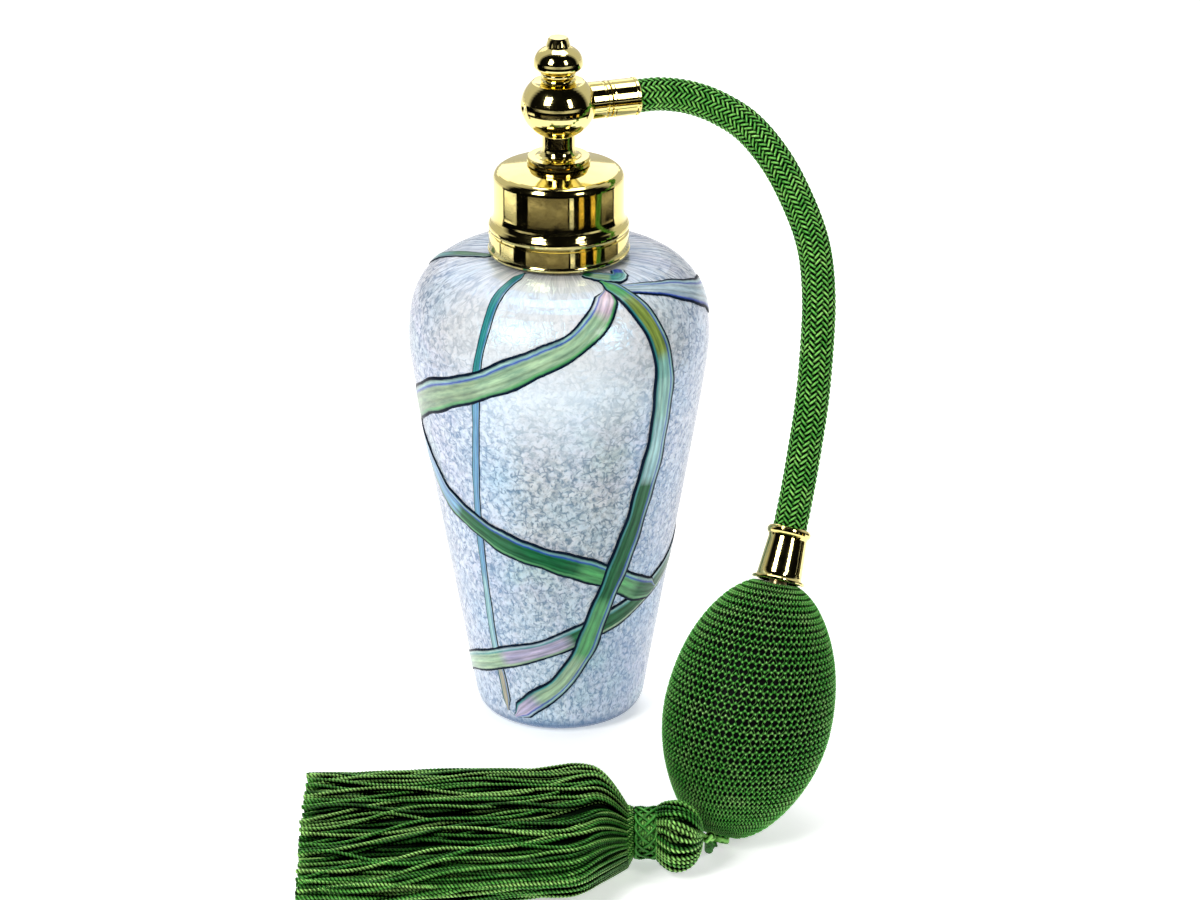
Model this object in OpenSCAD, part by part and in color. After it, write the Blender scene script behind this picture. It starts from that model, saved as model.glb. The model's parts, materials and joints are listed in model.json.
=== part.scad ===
// Perfume atomiser: glass bottle, gilt spray head, braided hose, netted bulb and tassel.
// Millimetres, +Z up. The origin is the centre of the bottle's base, on the table. -Y is the front.

/* [Bottle] */
// Radius of the flat the bottle stands on
base_r = 14; // [12:0.5:15]
// Radius just above the rounded heel
heel_r = 19.4; // [18.5:0.1:20.5]
// Height of the rounded heel
heel_h = 4.6; // [3:0.2:6]
// Largest radius of the body
body_r = 33.8; // [32:0.2:36]
// Height of the widest ring
wide_z = 90.5; // [86:0.5:94]
// Height of the flat of the shoulder, where the neck begins
shoulder_z = 110.3; // [108:0.1:112]
// Thickness of the glass wall
glass_wall = 3.1; // [2.4:0.1:3.6]
// Height of the inner floor of the bottle
floor_z = 7; // [5:0.5:9]
// Outer radius of the glass neck
neck_r = 9.5; // [9:0.1:10]
// Radius of the neck's bore
neck_bore_r = 6.5; // [5.5:0.1:7]
// Height of the glass neck above the shoulder
neck_h = 15.2; // [14.8:0.1:15.4]

/* [Collar] */
// Outer radius of the collar's straight wall
collar_r = 14.66; // [14.5:0.02:14.8]
// Outer radius of the collar's foot band
band_r = 15.7; // [15.5:0.05:16.2]
// Thickness of the gilt shell
shell_t = 0.6; // [0.4:0.05:0.7]
// Height of the collar above the shoulder
collar_h = 21.2; // [21:0.1:22]

/* [Spray head] */
// Half width of the ball
ball_r = 8.4; // [8:0.1:9]
// Height of the ball's centre
ball_z = 145.4; // [145:0.1:146]
// Direction of the hose fitting, turned from +X towards the back
fitting_turn = 18.5; // [0:0.5:30]
// Outer radius of the hose fitting and its ferrule
fitting_r = 4.2; // [4:0.1:4.5]
// Outer radius of the siphon tube
siphon_r = 1.6; // [1.4:0.05:1.8]
// Half width of the finial's ball
finial_r = 5.5; // [5:0.1:6]
// Number of flutes round the finial's tip
flutes = 12; // [8:1:16]

/* [Hose and bulb] */
// Outer radius of the braided hose
hose_r = 3.65; // [3:0.05:3.7]
// Outer radius of the net at the bulb's widest ring
net_r = 18.4; // [17:0.1:19]
// Length of the bulb from its tip to the ferrule
bulb_l = 57; // [54:0.5:60]
// Thickness of the net
net_t = 0.6; // [0.4:0.1:0.8]
// Thickness of the bulb's rubber wall
rubber_t = 1.8; // [1.4:0.1:2.2]

/* [Tassel] */
// Half width of the tassel's head
tassel_head_r = 8.1; // [7:0.1:8.4]
// Length of the skirt
skirt_l = 71.5; // [65:0.5:85]
// Width of the skirt at its open end
skirt_w = 58; // [50:1:60]
// Thickness of the skirt at its open end
skirt_t = 16; // [13:0.5:18]

/* [Hidden] */

$fn = 96;
eps = 0.01;

gilt = "goldenrod";
braid_green = "darkgreen";
silk_green = "forestgreen";

// ---- Heights up the axis ----
neck_top = shoulder_z + neck_h;
gasket_t = 0.8;
plate_z = neck_top + gasket_t;
plate_t = 2;
stem_z = plate_z + plate_t;
collar_bottom = shoulder_z + 1;
collar_top = shoulder_z + collar_h;
flange_z = collar_top + 0.15;
flange_top = flange_z + 1.85;

// ---- Radii that run on each other ----
thread_r = 11.6;
liner_bore_r = thread_r + 0.08;
stem_r = 5.2;
collar_hole_r = stem_r + 0.07;
needle_r = 1.2;
needle_bore_r = needle_r + 0.06;
socket_r = 2.3;
spigot_r = socket_r - 0.07;

// ---- The ball of the spray head ----
ball_up = 7.4;
ball_down = 7.7;
ball_cut_z = ball_z + 5.3;
stem_neck_r = 3.65;
seat_z = ball_z - 1.8;
siphon_top = ball_z - 4.6;
siphon_bottom = floor_z + 2;
air_r = 1;

// ---- The hose fitting, measured along its axis from the centre of the ball ----
groove_r = fitting_r - 0.25;
boss_end = 11.5;
spigot_flange_end = boss_end + 0.8;
ferrule_end = 18.2;
hose_start = 13;
tail_r = 1.9;
barb_r = tail_r + 0.3;

// ---- The finial ----
gland_top = ball_cut_z + 2.5;
finial_z = gland_top + 0.3;
finial_mid = finial_z + 1.2;
tip_z = 161;

// ---- The bulb: its frame has its origin at the top of the bulb and +Z up its axis ----
bulb_top = [48.2, -49.6, 51.8];
bulb_lean = 30.6;
bulb_heading = 64;
bulb_neck_r = 4.3;
ferrule_l = 12.2;
valve_r = 1.6;
outlet_z = -9;
intake_z = -bulb_l + net_t + rubber_t + 0.1;

// ---- The route of the hose, from inside one ferrule to inside the other ----
hose_route = [
    [12.4, 4.1, 145.4], [17.4, 5.8, 145.4], [22.8, 7.5, 145.3], [29.3, 8.2, 144.2], [35.9, 7, 142],
    [42.6, 3.5, 138.4], [49, -3, 132], [54, -10.5, 123.7], [56.5, -17, 117], [57.3, -23.5, 109],
    [56.9, -29, 100.5], [55.8, -34, 89], [54.3, -37.5, 79.5], [52.6, -40.7, 70], [50.9, -44, 62.3],
    [49.5, -46.9, 56.8]
];

// ---- The tassel lies on the table along -X ----
link_r = 0.95;
link_route = [[33, -78.2, 1.5], [32.9, -80.4, 1.8], [32.8, -82.6, 3.6], [32.8, -84.3, 6.2]];
knot_r = 1.7;
knot_centre = [32.6, -85.9, 7.6];
head_centre = [25.6, -87.2, tassel_head_r + 0.4];
head_long = 6.2;
binding_x = 16.3;
binding_l = 5.7;
binding_r = 5.9;
binding_y = -85;
binding_z = 8.2;

// A cubic curve through four points, in n steps
function bez(a, b, c, d, n) =
    [for (i = [0:n]) let (t = i / n, s = 1 - t)
        s * s * s * a + 3 * s * s * t * b + 3 * s * t * t * c + t * t * t * d];

// Part of an ellipse about [x, z], from angle a0 to a1, in n steps
function ell(x, z, rx, rz, a0, a1, n) =
    [for (i = [0:n]) let (a = a0 + (a1 - a0) * i / n) [x + rx * cos(a), z + rz * sin(a)]];

// A list without its first point, to join two curves
function rest(p) = [for (i = [1:len(p) - 1]) p[i]];

function unit(v) = v / norm(v);

// A smooth curve through the points of p, with n steps between neighbours
function smooth_path(p, n) = concat(
    [for (i = [0:len(p) - 2])
        let (a = i > 0 ? p[i - 1] : 2 * p[0] - p[1],
             b = p[i],
             c = p[i + 1],
             d = i < len(p) - 2 ? p[i + 2] : 2 * p[i + 1] - p[i])
        for (k = [0:n - 1]) let (t = k / n)
            0.5 * (2 * b + (c - a) * t + (2 * a - 5 * b + 4 * c - d) * t * t
                + (3 * b - a - 3 * c + d) * t * t * t)],
    [p[len(p) - 1]]);

// The direction of a path at its point i
function along(p, i) = unit(p[min(i + 1, len(p) - 1)] - p[max(i - 1, 0)]);

// A side vector at each point of a path, carried along it without twist
function carried(p, i = 0, side = [0, 1, 0], out = []) =
    i == len(p) ? out :
    let (t = along(p, i), s = unit(side - (side * t) * t))
    carried(p, i + 1, s, concat(out, [s]));

// A closed solid through rings of equal length
module loft(rings) {
    m = len(rings[0]);
    last = len(rings) - 1;
    points = [for (ring = rings) each ring];
    walls = [for (i = [0:last - 1], j = [0:m - 1])
        let (a = i * m + j, b = i * m + (j + 1) % m)
        each [[a, b, b + m], [a, b + m, a + m]]];
    first_cap = [for (j = [1:m - 2]) [0, j + 1, j]];
    last_cap = [for (j = [1:m - 2]) [last * m, last * m + j, last * m + j + 1]];
    polyhedron(points, concat(walls, first_cap, last_cap));
}

// A round tube swept along a path, with m sides
module sweep(p, r, m) {
    side = carried(p);
    loft([for (i = [0:len(p) - 1])
        let (u = side[i], v = cross(along(p, i), u))
        [for (j = [0:m - 1]) p[i] + r * (cos(360 * j / m) * u - sin(360 * j / m) * v)]]);
}

// Places its children on the axis of the hose fitting, with local +Z leading away from the ball
module on_fitting() {
    translate([0, 0, ball_z]) rotate([0, 90, fitting_turn]) children();
}

// Places its children on the bulb's axis
module on_bulb() {
    translate(bulb_top) rotate([0, bulb_lean, bulb_heading]) children();
}

// A washer or tube between two heights
module ring(outer, inner, z0, z1) {
    difference() {
        translate([0, 0, z0]) cylinder(r = outer, h = z1 - z0);
        translate([0, 0, z0 - 1]) cylinder(r = inner, h = z1 - z0 + 2);
    }
}

// ---- Bottle ----

module bottle_glass() {
    heel = bez([base_r, 0], [base_r + 3.3, 0], [heel_r - 0.6, 0.35 * heel_h], [heel_r, heel_h], 8);
    wall = bez([heel_r, heel_h], [heel_r + 4.1, heel_h + 25], [body_r, wide_z - 7.2], [body_r, wide_z], 18);
    shoulder = bez([body_r, wide_z], [body_r, wide_z + 9.3], [body_r - 0.8, shoulder_z],
        [14, shoulder_z], 16);
    in_heel = [heel_r - 2, floor_z + 5.5];
    in_wide = body_r - glass_wall;
    well = bez([0, floor_z], [9, floor_z], [in_heel[0] - 1, floor_z + 0.4], in_heel, 8);
    in_wall = bez(in_heel, in_heel + [3.4, 20], [in_wide, wide_z - 8], [in_wide, wide_z], 14);
    in_roof = bez([in_wide, wide_z], [in_wide, wide_z + 7.8], [in_wide - 1, shoulder_z - glass_wall],
        [neck_bore_r + 3, shoulder_z - glass_wall], 14);
    color("lightcyan") rotate_extrude() polygon(concat(
        [[0, 0]], heel, rest(wall), rest(shoulder),
        [[neck_r, shoulder_z], [neck_r, neck_top - 0.4], [neck_r - 0.4, neck_top]],
        [[neck_bore_r, neck_top], [neck_bore_r, shoulder_z - glass_wall + 0.8]],
        [for (i = [len(in_roof) - 1:-1:0]) in_roof[i]],
        [for (i = [len(in_wall) - 2:-1:0]) in_wall[i]],
        [for (i = [len(well) - 2:-1:0]) well[i]]));
}

// Threaded ring cemented round the glass neck
module neck_ring() {
    pitch = 2;
    crest = 0.35;
    root_r = thread_r - 0.7;
    foot = shoulder_z + 1;
    color("silver") difference() {
        union() {
            translate([0, 0, shoulder_z]) cylinder(r = 13.2, h = 1);
            translate([0, 0, foot - eps]) cylinder(r = root_r, h = neck_top - 1 - foot);
            for (i = [0:1]) translate([0, 0, foot + 8.4 + i * pitch]) rotate_extrude()
                polygon([[root_r - 0.5, -crest - 0.45], [root_r, -crest - 0.45], [thread_r, -crest],
                    [thread_r, crest], [root_r, crest + 0.45], [root_r - 0.5, crest + 0.45]]);
        }
        translate([0, 0, shoulder_z - 1]) cylinder(r = neck_r, h = neck_h + 2);
    }
}

module neck_gasket() {
    color("dimgray") ring(neck_r - 0.2, neck_bore_r + 0.2, neck_top, plate_z);
}

// ---- Collar ----

module collar_shell() {
    z0 = collar_bottom;
    edge_r = 2;
    edge_z = collar_top - 3.1;
    edge_x = collar_r - edge_r;
    inner_edge = edge_r - shell_t;
    outside = concat(
        [[band_r - shell_t, z0], [band_r, z0]],
        ell(band_r, z0 + 0.5, 0.25, 0.5, -60, 60, 4),
        [[band_r, z0 + 1.1], [band_r, z0 + 4.6], [band_r - 0.35, z0 + 4.8], [band_r - 0.35, z0 + 5.2]],
        ell(band_r - 0.35, z0 + 6.1, 0.45, 0.85, -75, 60, 7),
        bez([collar_r + 0.7, z0 + 7.2], [collar_r + 0.2, z0 + 7.6], [collar_r, z0 + 8.8],
            [collar_r, z0 + 10.2], 8),
        ell(edge_x, edge_z, edge_r, edge_r, 0, 80, 8),
        [[7.2, collar_top - 0.1], [collar_hole_r + 0.2, collar_top], [collar_hole_r, collar_top - 0.2]]);
    inside = concat(
        [[collar_hole_r, collar_top - shell_t], [7, collar_top - shell_t - 0.1]],
        ell(edge_x, edge_z, inner_edge, inner_edge, 80, 0, 6),
        [[collar_r - shell_t, z0 + 9.8], [band_r - 1.05, z0 + 6.4], [band_r - 1.05, z0 + 4.4],
         [band_r - shell_t, z0 + 4]]);
    color(gilt) rotate_extrude() polygon(concat(outside, inside));
}

// Threaded liner pressed into the collar shell
module collar_liner() {
    liner_r = collar_r - shell_t;
    foot = collar_bottom + 1.3;
    web_z = stem_z + 0.3;
    color("burlywood") rotate_extrude() polygon([
        [liner_bore_r + 0.4, foot], [liner_r - 0.5, foot], [liner_r - 0.5, foot + 8.3],
        [liner_r, foot + 9.1], [liner_r, collar_top - 3.3],
        [liner_r - 1.6, collar_top - 1.8], [collar_hole_r, collar_top - 1.8],
        [collar_hole_r, web_z], [liner_bore_r, web_z], [liner_bore_r, foot + 0.4]]);
}

// ---- Spray head ----

module spray_head_body() {
    neck_meet = asin(-sqrt(1 - pow(stem_neck_r / ball_r, 2)));
    cut = asin(5.3 / ball_up);
    outline = concat(
        [[0, plate_z], [3.6, plate_z], [3.6, stem_z], [stem_r, stem_z], [stem_r, flange_top]],
        bez([stem_r - 0.3, flange_top + 0.15], [stem_neck_r + 0.3, flange_top + 0.4],
            [stem_neck_r, flange_top + 1.2], [stem_neck_r, flange_top + 2.4], 6),
        ell(0, ball_z, ball_r, ball_down, neck_meet, 0, 16),
        rest(ell(0, ball_z, ball_r, ball_up, 0, cut, 10)),
        [[5.5, ball_cut_z + 0.12], [4.2, ball_cut_z - 0.1], [0, ball_cut_z - 0.1]]);
    color(gilt) difference() {
        union() {
            rotate_extrude() polygon(outline);
            on_fitting() rotate_extrude() polygon([
                [0, 5], [fitting_r, 5], [fitting_r, boss_end - 1.5],
                [groove_r, boss_end - 1.3], [groove_r, boss_end - 1], [fitting_r, boss_end - 0.8],
                [fitting_r, boss_end - 0.2], [fitting_r - 0.2, boss_end], [0, boss_end]]);
        }
        translate([0, 0, plate_z - 1]) cylinder(r = siphon_r, h = siphon_top - plate_z + 1);
        translate([0, 0, siphon_top - 1]) cylinder(r = 0.6, h = seat_z - siphon_top + 1.5);
        translate([0, 0, seat_z]) cylinder(r = needle_bore_r, h = 12);
        translate([0, 0, ball_cut_z - 2.1]) cylinder(r = 2.6, h = 4);
        on_fitting() translate([0, 0, -7]) cylinder(r = air_r, h = 16);
        on_fitting() translate([0, 0, 8.2]) cylinder(r = socket_r, h = 6);
        on_fitting() translate([0, 0, -12]) cylinder(r = 1.6, h = 6.5);
    }
}

// Disc on the lower end of the stem, which the collar draws down on the gasket
module clamp_plate() {
    color("silver") ring(10.9, 3.6, plate_z, stem_z);
}

// Two-step washer round the stem, above the collar
module head_flange() {
    color(gilt) rotate_extrude() polygon([
        [stem_r, flange_z], [6.85, flange_z], [7.05, flange_z + 0.15], [7.05, flange_z + 0.75],
        [6.65, flange_z + 0.85], [6.65, flange_z + 1.05], [7, flange_z + 1.15], [7, flange_top - 0.2],
        [6.8, flange_top], [stem_r, flange_top]]);
}

module siphon_tube() {
    color("whitesmoke") difference() {
        translate([0, 0, siphon_bottom]) cylinder(r = siphon_r, h = siphon_top - siphon_bottom);
        translate([0, 0, siphon_bottom - 1]) cylinder(r = siphon_r - 0.6, h = siphon_top - siphon_bottom + 2);
        translate([0, 0, siphon_bottom]) rotate([0, 35, 0]) translate([0, 0, -2.2])
            cube([6, 6, 4], center = true);
    }
}

module nozzle_insert() {
    color(gilt) on_fitting() difference() {
        translate([0, 0, -8.3]) cylinder(r = 1.6, h = 2.8);
        translate([0, 0, -9]) cylinder(r = 0.3, h = 4);
        translate([0, 0, -7]) cylinder(r = 0.9, h = 3);
        translate([0, 0, -8.31]) cylinder(r1 = 0.9, r2 = 0.3, h = 0.6);
    }
}

// Nut with two bead rings, which guides the needle
module gland_nut() {
    z0 = ball_cut_z - 0.1;
    bead = 0.62;
    color(gilt) difference() {
        rotate_extrude() polygon(concat(
            [[0, z0 - 2], [2.6, z0 - 2], [2.6, z0], [3.3, z0]],
            ell(3.3, z0 + bead, bead, bead, -80, 80, 8),
            [[3.1, z0 + 2 * bead + 0.1]],
            ell(3.3, z0 + 3 * bead + 0.2, bead, bead, -80, 80, 8),
            [[3.2, gland_top], [0, gland_top]]));
        translate([0, 0, z0 - 3]) cylinder(r = needle_bore_r, h = 8);
    }
}

module closing_needle() {
    point_z = seat_z + 0.1;
    color("silver") rotate_extrude() polygon([
        [0, point_z], [0.4, point_z], [needle_r, point_z + 0.8],
        [needle_r, finial_z + 4.2], [needle_r - 0.3, finial_z + 4.5], [0, finial_z + 4.5]]);
}

// Ball and fluted tip that the fingers turn
module finial_knob() {
    top_r = 2.15;
    tip_r = 2.75;
    tip_foot = finial_mid + 4.5;
    color(gilt) difference() {
        rotate_extrude() polygon(concat(
            [[0, finial_z], [3.6, finial_z]],
            bez([4, finial_z], [5, finial_z + 0.1], [finial_r, finial_mid - 0.5],
                [finial_r, finial_mid], 6),
            rest(bez([finial_r, finial_mid], [finial_r, finial_mid + 2.4], [4.4, finial_mid + 3.3],
                [tip_r, tip_foot - 0.4], 12)),
            [[tip_r - 0.1, tip_foot + 0.1], [top_r + 0.15, tip_z - 0.4], [top_r - 0.15, tip_z],
             [0, tip_z]]));
        translate([0, 0, finial_z - 1]) cylinder(r = needle_bore_r, h = 5.8);
        for (i = [0:flutes - 1]) rotate([0, 0, i * 360 / flutes])
            translate([tip_r + 0.12, 0, tip_foot]) rotate([0, -8, 0])
            cylinder(r = 0.3, h = 5, $fn = 24);
    }
}

// ---- Hose and its fittings ----

// Swivelling tail that carries the hose at the head
module hose_spigot() {
    flange_r = fitting_r - 0.05;
    color(gilt) on_fitting() difference() {
        rotate_extrude() polygon([
            [0, 8.4], [spigot_r, 8.4], [spigot_r, boss_end + 0.1], [groove_r, boss_end + 0.1],
            [flange_r, boss_end + 0.3], [flange_r, spigot_flange_end],
            [tail_r, spigot_flange_end], [tail_r, 14.5], [barb_r, 14.7], [tail_r, 16],
            [barb_r, 16.2], [tail_r, 17.5], [0, 17.5]]);
        translate([0, 0, 8]) cylinder(r = air_r, h = 12);
    }
}

module head_ferrule() {
    color(gilt) on_fitting() rotate_extrude() polygon([
        [tail_r + 0.05, spigot_flange_end], [fitting_r - 0.1, spigot_flange_end],
        [fitting_r, spigot_flange_end + 0.2], [fitting_r, ferrule_end - 0.9],
        [fitting_r + 0.15, ferrule_end - 0.7], [fitting_r + 0.15, ferrule_end - 0.2],
        [fitting_r, ferrule_end], [hose_r + 0.1, ferrule_end],
        [hose_r + 0.1, hose_start - 0.1], [tail_r + 0.05, hose_start - 0.1]]);
}

module air_hose() {
    color(braid_green) sweep(smooth_path(hose_route, 4), hose_r, 10);
}

// Gilt sleeve between hose and bulb, with a rolled rim above and a flared lip below
module bulb_ferrule() {
    sleeve_r = fitting_r + 0.05;
    swell_r = 4.95;
    lip_r = 5.9;
    mouth_r = 4.45;
    color(gilt) on_bulb() rotate_extrude() polygon(concat(
        [[mouth_r, 0]],
        ell(lip_r - 0.3, 0.4, 0.3, 0.4, -90, 90, 6),
        bez([lip_r - 0.6, 0.85], [swell_r + 0.15, 1], [swell_r, 1.5], [swell_r - 0.05, 2.6], 6),
        [[sleeve_r + 0.05, ferrule_l - 2.4]],
        ell(sleeve_r, ferrule_l - 1, 0.65, 0.95, -75, 75, 6),
        [[hose_r + 0.1, ferrule_l], [hose_r + 0.1, 5.4], [2.05, 5.4], [2.05, 4.6], [bulb_neck_r - 0.1, 4.6],
         [bulb_neck_r - 0.1, 1]]));
}

// Double-ended tail inside the lower ferrule
module bulb_spigot() {
    color("silver") on_bulb() difference() {
        rotate_extrude() polygon([
            [0, -3], [2, -3], [2, 4], [2, 6.5], [2.3, 6.7], [2, 8], [2.3, 8.2], [2, 9.6], [0, 9.6]]);
        translate([0, 0, -4]) cylinder(r = 1.1, h = 15);
    }
}

// Half outline of the bulb from the tip up to the neck, shrunk by d
function bulb_outline(d) = concat(
    bez([2.6, -bulb_l + d], [8, -bulb_l + d], [net_r - d, -bulb_l + 13], [net_r - d, -bulb_l * 0.52], 14),
    rest(bez([net_r - d, -bulb_l * 0.52], [net_r - d, -12], [9.5 - d, -1.5 - d],
        [bulb_neck_r - 0.1, -d], 14)));

module rubber_bulb() {
    skin = net_t + 0.02;
    core = net_t + rubber_t;
    inner_neck = 2.3;
    bore = 2.05;
    color("black") on_bulb() rotate_extrude() polygon(concat(
        [[1.5, -bulb_l + skin]],
        bulb_outline(skin),
        [[bulb_neck_r - 0.15, 0.5], [bulb_neck_r - 0.15, 4.4], [bore, 4.4],
         [bore, -0.6 - core], [inner_neck, -0.6 - core]],
        let (q = bulb_outline(core)) [for (i = [len(q) - 2:-1:0]) q[i]],
        [[1.5, -bulb_l + core]]));
}

module net_cover() {
    color(silk_green) on_bulb() rotate_extrude() polygon(concat(
        [[1.5, -bulb_l]],
        bulb_outline(0),
        let (q = bulb_outline(net_t)) [for (i = [len(q) - 1:-1:0]) q[i]],
        [[1.5, -bulb_l + net_t]]));
}

// A short tube with a seat below and vents above, for a valve ball
module valve_cage(z, outer) {
    seat = 1.2;
    roof = seat + 3.8;
    translate([0, 0, z]) difference() {
        cylinder(r = outer, h = roof + 1);
        translate([0, 0, -3]) cylinder(r = 0.8, h = 5);
        translate([0, 0, seat]) cylinder(r = valve_r + 0.1, h = roof - seat);
        for (a = [0:90:270]) rotate([0, 0, a]) translate([0.95, 0, roof - 1]) cylinder(r = 0.35, h = 3);
    }
}

module valve_ball(z) {
    color("white") on_bulb() translate([0, 0, z + 1.2 + valve_r + 0.05]) sphere(r = valve_r - 0.15);
}

module outlet_valve_cage() {
    color("silver") on_bulb() valve_cage(outlet_z, 2);
}

module outlet_valve_ball() {
    valve_ball(outlet_z);
}

module intake_valve_body() {
    stem = 1.9;
    color("silver") on_bulb() {
        valve_cage(intake_z, 2.6);
        difference() {
            translate([0, 0, intake_z - stem]) cylinder(r = 1.45, h = stem + eps);
            translate([0, 0, intake_z - stem - 1]) cylinder(r = 0.8, h = stem + 2);
        }
    }
}

module intake_valve_ball() {
    valve_ball(intake_z);
}

// Drawn-up knot of cord that closes the net at the tip
module net_tie() {
    color(braid_green) on_bulb() translate([0, 0, -bulb_l - 0.02]) rotate_extrude()
        polygon(concat([[0, 0], [0, -1.5]], ell(1.6, -0.75, 0.75, 0.75, -90, 90, 8)));
}

// ---- Tassel ----

module tassel_link() {
    color(braid_green) sweep(smooth_path(link_route, 3), link_r, 8);
}

// Knotted end of the link cord, in the top of the head
module tassel_knot() {
    color(braid_green) translate(knot_centre) sphere(r = knot_r, $fn = 48);
}

module tassel_head() {
    cut = 35.5;
    color(braid_green) translate(head_centre) rotate([0, -90, 0]) rotate_extrude()
        polygon(concat([[0, -head_long]], rest(ell(0, 0, tassel_head_r, head_long, -90, cut, 16)),
            [[0, head_long * sin(cut)]]));
}

module tassel_binding() {
    bulge = 1.4;
    color(silk_green) translate([binding_x + binding_l, binding_y, binding_z]) rotate([0, -90, 0])
        rotate_extrude() polygon(concat([[0, 0]], ell(binding_r - 1, bulge, 1, bulge, -90, 0, 5),
            ell(binding_r - 1, binding_l - bulge, 1, bulge, 0, 90, 5), [[0, binding_l]]));
}

// The hanging strands, spread flat towards their ends
module tassel_skirt() {
    sides = 24;
    n = 16;
    start = 11.6;
    color(silk_green) loft([for (i = [0:n]) let (
        t = pow(i / n, 1.6),
        w = start + (skirt_w - 8 - start) * sin(90 * min(1, 5 * t)) + 8 * t,
        h = start + (21 - start) * sin(90 * min(1, 8 * t)) - (21 - skirt_t) * t,
        y = binding_y + 0.4 - 4 * sin(90 * min(1, 3 * t)),
        z = max(h / 2 + 0.4, binding_z * (1 - 6 * t)))
        [for (j = [0:sides - 1]) let (a = 360 * j / sides)
            [binding_x - skirt_l * t, y + w / 2 * cos(a), z + h / 2 * sin(a)]]]);
}

bottle_glass();
neck_ring();
neck_gasket();
collar_shell();
collar_liner();
spray_head_body();
clamp_plate();
head_flange();
siphon_tube();
nozzle_insert();
gland_nut();
closing_needle();
finial_knob();
hose_spigot();
head_ferrule();
air_hose();
bulb_ferrule();
bulb_spigot();
rubber_bulb();
net_cover();
outlet_valve_cage();
outlet_valve_ball();
intake_valve_body();
intake_valve_ball();
net_tie();
tassel_link();
tassel_knot();
tassel_head();
tassel_binding();
tassel_skirt();
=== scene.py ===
"""Looks of the perfume atomiser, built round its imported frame.

Metres, +Z up. The origin is under the bottle, -Y is the front and +X is the hose's side.
Lengths written as a number times MM are millimetres.
"""

import json
import math

import bpy
import numpy as np
from mathutils import Matrix, Vector


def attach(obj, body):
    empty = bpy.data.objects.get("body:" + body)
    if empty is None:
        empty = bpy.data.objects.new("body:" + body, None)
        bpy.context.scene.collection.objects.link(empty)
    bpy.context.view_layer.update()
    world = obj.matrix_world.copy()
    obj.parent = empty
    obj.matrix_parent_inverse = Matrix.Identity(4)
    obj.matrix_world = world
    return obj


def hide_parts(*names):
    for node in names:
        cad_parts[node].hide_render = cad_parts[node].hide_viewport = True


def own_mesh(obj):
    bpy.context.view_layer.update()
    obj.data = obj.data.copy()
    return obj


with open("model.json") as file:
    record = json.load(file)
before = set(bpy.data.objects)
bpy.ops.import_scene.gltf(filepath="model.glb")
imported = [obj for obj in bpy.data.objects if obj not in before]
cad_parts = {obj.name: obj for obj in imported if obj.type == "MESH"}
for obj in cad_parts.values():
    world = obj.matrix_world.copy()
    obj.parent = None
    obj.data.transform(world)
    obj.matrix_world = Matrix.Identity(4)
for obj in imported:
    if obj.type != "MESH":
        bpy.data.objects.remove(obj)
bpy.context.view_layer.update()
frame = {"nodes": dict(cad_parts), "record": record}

MM = 0.001
TURN = 2 * math.pi
chance = np.random.default_rng(7)


# ---- Camera, light and floor ----


def look_at(thing, place, target):
    """Puts a camera or lamp at place, facing target."""
    thing.location = place
    aim = Vector(target) - Vector(place)
    thing.rotation_euler = aim.to_track_quat("-Z", "Y").to_euler()


def make_camera():
    """A long lens a little above the table, level with the front of the bottle."""
    data = bpy.data.cameras.new("camera")
    data.lens = 158.4
    data.sensor_width = 36
    camera = bpy.data.objects.new("camera", data)
    bpy.context.scene.collection.objects.link(camera)
    aim = Vector((9.2 * MM, 0, 62.6 * MM))
    tilt = math.radians(22.5)
    reach = 1.2
    look_at(camera, aim + Vector((0, -reach * math.cos(tilt), reach * math.sin(tilt))), aim)
    bpy.context.scene.camera = camera


def soft_box(name, place, width, height, power):
    """A rectangular studio lamp that faces the object."""
    data = bpy.data.lights.new(name, "AREA")
    data.shape = "RECTANGLE"
    data.size = width
    data.size_y = height
    data.energy = power
    lamp = bpy.data.objects.new(name, data)
    bpy.context.scene.collection.objects.link(lamp)
    look_at(lamp, place, (0.01, -0.02, 0.08))


def stage_sheet(name, corners, colour, glow):
    """A flat sheet of the set, which may glow."""
    mesh = bpy.data.meshes.new(name)
    mesh.from_pydata(corners, [], [tuple(range(len(corners)))])
    sheet = bpy.data.objects.new(name, mesh)
    bpy.context.scene.collection.objects.link(sheet)
    shader = Shader(name)
    shader.fix(base_color=(*colour, 1), roughness=0.9, emission_color=(*colour, 1))
    shader.fix(emission_strength=glow)
    shader.surface.inputs["Specular IOR Level"].default_value = 0
    mesh.materials.append(shader.material)
    return sheet


def reflector(name, near, far, start, end, height, colour, glow):
    """A sector of the table in front, in degrees from the front, that only reflections see."""
    turns = [math.radians(start + (end - start) * i / 12 - 90) for i in range(13)]
    inner = [(near * math.cos(a), near * math.sin(a), height) for a in turns]
    outer = [(far * math.cos(a), far * math.sin(a), height) for a in turns]
    card = stage_sheet(name, inner[::-1] + outer, colour, glow)
    card.visible_camera = False
    card.visible_diffuse = False
    card.visible_transmission = False
    card.visible_shadow = False


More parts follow.
